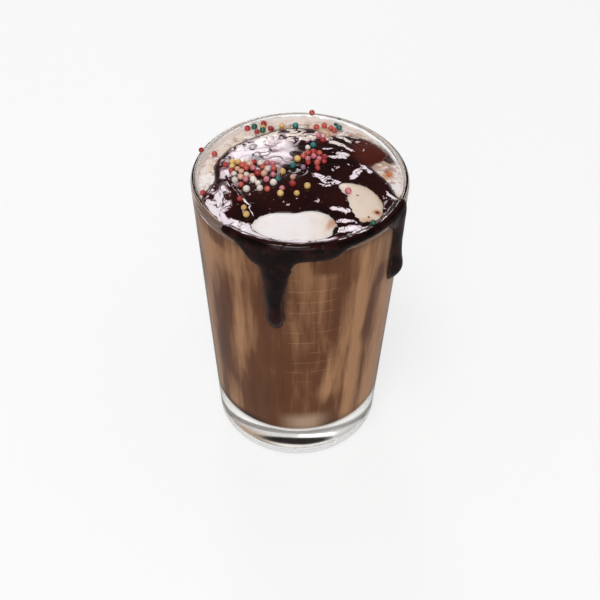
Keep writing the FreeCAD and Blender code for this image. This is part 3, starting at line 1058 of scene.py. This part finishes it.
def sauce_with_painted_reflections(nodes, place):
    """Sauce with painted reflections of the light drawn through it like cream, in soft tones, and a
    brown area at the back.
    """
    moved = nodes.drifted(place, 95, 6 * MM)
    brown = nodes.spots(moved, (BROWN_AREA,), 0.5, 1.15)
    share = painted_reflection_share(nodes, place, moved)
    backward = nodes.ramp(nodes.split(moved)[1], 12 * MM, 22 * MM)
    # painted reflection of the light laid over the sauce in steps of its share
    return nodes.coats(
        plain_sauce(nodes, place),
        (nodes.times(brown, 0.9), SAUCE_BROWN),
        (nodes.ramp(share, 0.05, 0.35), REFLECTION_EDGE_BROWN),
        (nodes.ramp(share, 0.3, 0.6), REFLECTION_GREY),
        (nodes.ramp(share, 0.6, 0.95), nodes.mix(backward, REFLECTION_PALE, REFLECTION_CREAM)),
    )


def pearl_material(name, colour):
    """Glazed sugar, a little paler in patches and darker on some pearls than on others."""
    nodes, place = material_nodes("sugar_" + name)
    red, green, blue = colour
    paler = linear(min(red + 22, 255), min(green + 22, 255), min(blue + 22, 255))
    darker = linear(red * 0.6, green * 0.55, blue * 0.55)
    mottle = nodes.noise(place, 900, detail=2)
    shader = nodes.add(
        "BsdfPrincipled",
        base_color=nodes.coats(
            linear(red, green, blue),
            (nodes.ramp(mottle, 0.4, 0.7), paler),
            (nodes.patches(place, 150, 0.35, 0.65, 0, 0.3, detail=1), darker),
        ),
        roughness=nodes.ramp(mottle, 0.3, 0.7, 0.14, 0.22),
        specular_ior_level=0.9,
        subsurface_weight=0.1,
        subsurface_radius=SUGAR_SCATTER,
        subsurface_scale=0.6 * MM,
        normal=nodes.bump(mottle, 0.05 * MM, 0.3),
    )
    return nodes.finish(shader)


def paint(piece, *materials):
    piece.data.materials.clear()
    for material in materials:
        piece.data.materials.append(material)


def paint_sauce(piece):
    """The pool carries painted reflections of the light; what hangs outside the glass is plain and
    shines less.
    """
    pool = sauce_material("chocolate_sauce", sauce_with_painted_reflections)
    drip = sauce_material("chocolate_drip", hanging_sauce, ior=1.38, gloss=0.3)
    paint(piece, pool, drip)
    for polygon in piece.data.polygons:
        radius = math.hypot(polygon.center.x, polygon.center.y)
        polygon.material_index = 1 if radius > HANGING_FROM else 0


# ---------------------------------------------------------------- stage, light, camera

def make_stage():
    """Floor that is white where seen through glass, pale with a shadow where seen directly."""
    mesh = bpy.data.meshes.new("floor")
    size = FLOOR_SIZE
    corners = [(-size, -size, 0), (size, -size, 0), (size, size, 0), (-size, size, 0)]
    mesh.from_pydata(corners, [], [(0, 1, 2, 3)])
    floor = bpy.data.objects.new("floor", mesh)
    bpy.context.scene.collection.objects.link(floor)
    nodes, _ = material_nodes("white_floor")
    path = nodes.add("LightPath").outputs
    lit = nodes.add("BsdfDiffuse", color=FLOOR_LIT)
    mirrored = nodes.add("BsdfDiffuse", color=FLOOR_MIRRORED)
    pale = nodes.add("BsdfDiffuse", color=FLOOR_SEEN)
    glow = nodes.add("Emission", color=WHITE, strength=FLOOR_GLOW)
    seen = nodes.add("AddShader", in0=pale.outputs[0], in1=glow.outputs[0])
    behind_glass = nodes.add("Emission", color=WHITE, strength=1.0)
    unseen = nodes.blend(path["Is Glossy Ray"], lit, mirrored)
    direct = nodes.blend(path["Is Camera Ray"], unseen, seen)
    paint(floor, nodes.finish(nodes.blend(path["Is Transmission Ray"], direct, behind_glass)))


def make_world():
    """White where seen, dimmer and darker overhead where mirrored, even light for the rest."""
    world = bpy.data.worlds.new("studio")
    bpy.context.scene.world = world
    nodes = Nodes(world, "OutputWorld")
    path = nodes.add("LightPath").outputs
    rise = nodes.split(nodes.add("TexCoord").outputs["Generated"])[2]
    sky = nodes.add(
        "MapRange", value=rise, from_min=SKY_LOW, from_max=SKY_HIGH,
        to_min=SKY_BRIGHT, to_max=SKY_DIM,
    )
    mirrored = nodes.add("Background", strength=sky.outputs[0])
    even = nodes.add("Background", strength=WORLD_LIGHT)
    white = nodes.add("Background", strength=1.0)
    seen = nodes.most(path["Is Camera Ray"], path["Is Transmission Ray"])
    nodes.finish(nodes.blend(seen, nodes.blend(path["Is Glossy Ray"], even, mirrored), white))


def add_lamp(name, bearing, elevation, distance, width, height, radiance, tint):
    """Soft rectangular light that looks at the top of the drink."""
    turn = math.radians(bearing)
    rise = math.radians(elevation)
    away = Vector((
        math.sin(turn) * math.cos(rise), -math.cos(turn) * math.cos(rise), math.sin(rise)
    ))
    data = bpy.data.lights.new(name, "AREA")
    data.shape = "RECTANGLE"
    data.size = width
    data.size_y = height
    data.energy = radiance * math.pi * width * height
    data.color = tint
    lamp = bpy.data.objects.new(name, data)
    bpy.context.scene.collection.objects.link(lamp)
    lamp.location = Vector((0, 0, HEIGHT)) + away * distance
    lamp.rotation_euler = away.to_track_quat("Z", "Y").to_euler()


def make_camera():
    data = bpy.data.cameras.new("view")
    data.lens = LENS
    data.sensor_width = SENSOR
    data.clip_start = 0.01
    data.dof.use_dof = False
    camera = bpy.data.objects.new("view", data)
    bpy.context.scene.collection.objects.link(camera)
    back = Vector((0, -math.cos(VIEW_ELEVATION), math.sin(VIEW_ELEVATION)))
    right = Vector((1, 0, 0))
    rolled_right = right * math.cos(VIEW_ROLL) + back.cross(right) * math.sin(VIEW_ROLL)
    turn = Matrix((rolled_right, back.cross(rolled_right), back)).transposed()
    camera.matrix_world = Matrix.Translation(VIEW_AIM + back * VIEW_DISTANCE) @ turn.to_4x4()
    bpy.context.scene.camera = camera


def main():
    make_camera()
    make_world()
    make_stage()
    for lamp in LAMPS:
        add_lamp(*lamp)
    bpy.context.scene.view_settings.view_transform = "Standard"
    tumbler = make_tumbler()
    paint(tumbler, glass_material())
    paint(make_drink(), drink_material())
    cream = make_cream()
    paint(cream, cream_material())
    paint(make_film(), film_material())
    sauce = make_sauce()
    paint_sauce(sauce)
    surface = Surface([cream, sauce, tumbler])
    make_pearls(surface)
    make_bubbles(surface, Surface([sauce]))


main()
